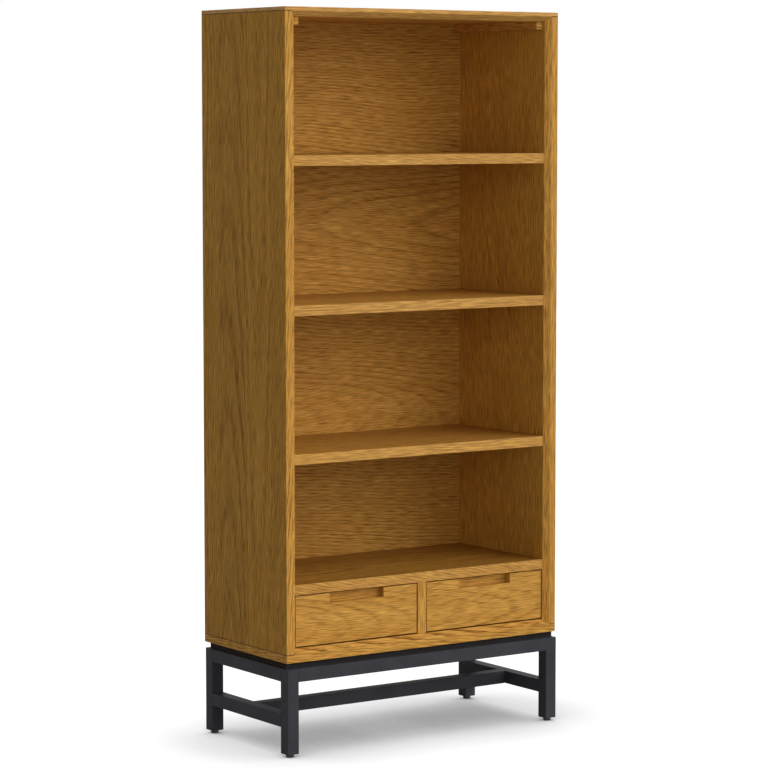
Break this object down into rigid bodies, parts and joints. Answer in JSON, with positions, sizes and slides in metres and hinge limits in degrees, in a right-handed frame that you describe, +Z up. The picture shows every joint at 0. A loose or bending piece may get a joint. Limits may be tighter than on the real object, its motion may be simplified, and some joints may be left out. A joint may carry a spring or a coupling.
{
  "type": "bookcase",
  "caption": "Tall open oak bookcase with a bevelled front frame, fixed shelves over notched inset drawers, on a black square-tube base.",
  "frame": {"origin": "on the floor, under the middle of the bounding box", "axes": "+X to the right seen from the front, +Y to the back, +Z up; the drawers open towards -Y"},
  "size_m": [0.762, 0.3596, 1.683],
  "materials": {
    "oak": "satin lacquered oak veneer",
    "drawer_box_wood": "satin lacquered wood",
    "black_wood": "matt black paint",
    "black_steel": "matt charcoal powder coat",
    "black_plastic": "moulded nylon",
    "zinc_steel": "bright zinc plate",
    "cage_steel": "plain pressed steel"
  },
  "bodies": {
    "carcass": {"top_panel": "oak", "bottom_panel": "oak", "left_side_panel": "oak", "right_side_panel": "oak", "back_panel": "oak", "upper_shelf": "oak", "middle_shelf": "oak", "lower_shelf": "oak", "drawer_deck": "oak", "drawer_divider": "oak", "left_top_cleat": "oak", "right_top_cleat": "oak", "spacer_front": "black_wood", "spacer_back": "black_wood", "spacer_left": "black_wood", "spacer_right": "black_wood", "front_left_leg": "black_steel", "front_right_leg": "black_steel", "back_left_leg": "black_steel", "back_right_leg": "black_steel", "front_rail": "black_steel", "back_rail": "black_steel", "left_rail": "black_steel", "right_rail": "black_steel", "left_stretcher": "black_steel", "right_stretcher": "black_steel", "long_stretcher": "black_steel", "fixing_tabs": "black_steel", "leg_plugs": "black_plastic", "base_screws": "zinc_steel", "left_cabinet_members": "zinc_steel", "right_cabinet_members": "zinc_steel"},
    "left_drawer": {"left_drawer_front": "oak", "left_box_front": "drawer_box_wood", "left_box_back": "drawer_box_wood", "left_box_left_side": "drawer_box_wood", "left_box_right_side": "drawer_box_wood", "left_box_bottom": "drawer_box_wood", "left_front_screws": "zinc_steel", "left_drawer_members": "zinc_steel"},
    "left_cages": {"left_ball_cages": "cage_steel"},
    "right_drawer": {"right_drawer_front": "oak", "right_box_front": "drawer_box_wood", "right_box_back": "drawer_box_wood", "right_box_left_side": "drawer_box_wood", "right_box_right_side": "drawer_box_wood", "right_box_bottom": "drawer_box_wood", "right_front_screws": "zinc_steel", "right_drawer_members": "zinc_steel"},
    "right_cages": {"right_ball_cages": "cage_steel"},
    "front_left_foot": {"front_left_foot": "black_plastic"},
    "front_right_foot": {"front_right_foot": "black_plastic"},
    "back_left_foot": {"back_left_foot": "black_plastic"},
    "back_right_foot": {"back_right_foot": "black_plastic"}
  },
  "joints": [
    {"name": "left_drawer_slide", "type": "slide", "parent": "carcass", "child": "left_drawer", "axis": [0, -1, 0], "range_m": [0, 0.215]},
    {"name": "left_cage_slide", "type": "slide", "parent": "carcass", "child": "left_cages", "axis": [0, -1, 0], "range_m": [0, 0.1075]},
    {"name": "right_drawer_slide", "type": "slide", "parent": "carcass", "child": "right_drawer", "axis": [0, -1, 0], "range_m": [0, 0.215]},
    {"name": "right_cage_slide", "type": "slide", "parent": "carcass", "child": "right_cages", "axis": [0, -1, 0], "range_m": [0, 0.1075]},
    {"name": "front_left_foot_screw", "type": "slide", "parent": "carcass", "child": "front_left_foot", "axis": [0, 0, -1], "range_m": [0, 0.012]},
    {"name": "front_right_foot_screw", "type": "slide", "parent": "carcass", "child": "front_right_foot", "axis": [0, 0, -1], "range_m": [0, 0.012]},
    {"name": "back_left_foot_screw", "type": "slide", "parent": "carcass", "child": "back_left_foot", "axis": [0, 0, -1], "range_m": [0, 0.012]},
    {"name": "back_right_foot_screw", "type": "slide", "parent": "carcass", "child": "back_right_foot", "axis": [0, 0, -1], "range_m": [0, 0.012]}
  ],
  "couplings": [
    {"joint": "left_cage_slide", "follows": "left_drawer_slide", "ratio": 0.5},
    {"joint": "right_cage_slide", "follows": "right_drawer_slide", "ratio": 0.5}
  ]
}
